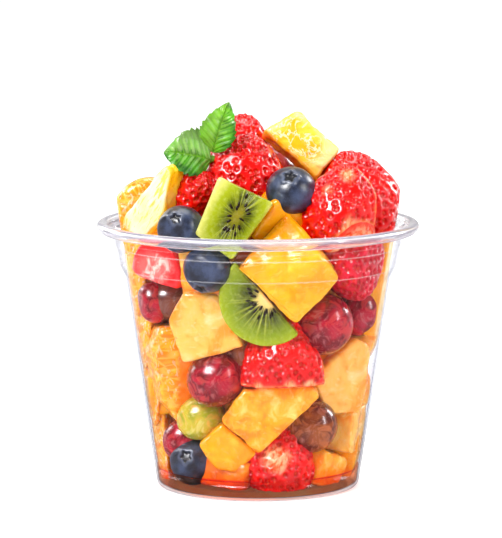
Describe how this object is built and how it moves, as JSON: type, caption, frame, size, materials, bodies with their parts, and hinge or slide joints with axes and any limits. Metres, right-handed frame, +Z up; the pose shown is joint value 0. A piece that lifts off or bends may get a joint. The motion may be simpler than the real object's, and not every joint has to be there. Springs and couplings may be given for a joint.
{
  "type": "fruit cup",
  "caption": "Clear plastic cup with a rolled rim, heaped above the rim with chunks of mixed cut fruit and small berries, with a sprig of mint on top.",
  "frame": {"origin": "centre of the cup's foot ring, on the surface that it stands on", "axes": "+Z up along the cup's axis; the side that the picture shows faces -Y, with +X to its right"},
  "size_m": [0.098, 0.098, 0.1182],
  "materials": {
    "clear_plastic": "clear, thin and glossy",
    "mixed_fruit": "wet cut fruit",
    "strawberry": "glossy, dimpled, with small pale seeds",
    "blueberry": "satin with a pale bloom",
    "grape": "smooth and glossy",
    "kiwi": "wet cut flesh with dark seeds",
    "mango": "smooth wet cut flesh",
    "pineapple": "wet fibrous cut flesh",
    "orange": "peeled segment, glossy",
    "mint": "satin leaf"
  },
  "bodies": {
    "root": {"cup": "clear_plastic", "fruit_heap": "mixed_fruit", "blueberry_left": "blueberry", "blueberry_top": "blueberry", "kiwi_cube": "kiwi", "mango_front": "mango", "strawberry_centre": "strawberry", "strawberry_cut": "strawberry", "pineapple_wedge": "pineapple", "strawberry_right": "strawberry", "pineapple_top": "pineapple", "strawberry_small": "strawberry", "orange_left": "orange", "strawberry_back": "strawberry", "mango_left": "mango", "mango_back_right": "mango", "strawberry_low_back": "strawberry", "pineapple_back": "pineapple", "grape_back": "grape", "blueberry_back_left": "blueberry", "kiwi_back": "kiwi", "orange_back_right": "orange", "blueberry_back_right": "blueberry", "grape_top": "grape", "mint_sprig": "mint"}
  },
  "joints": []
}
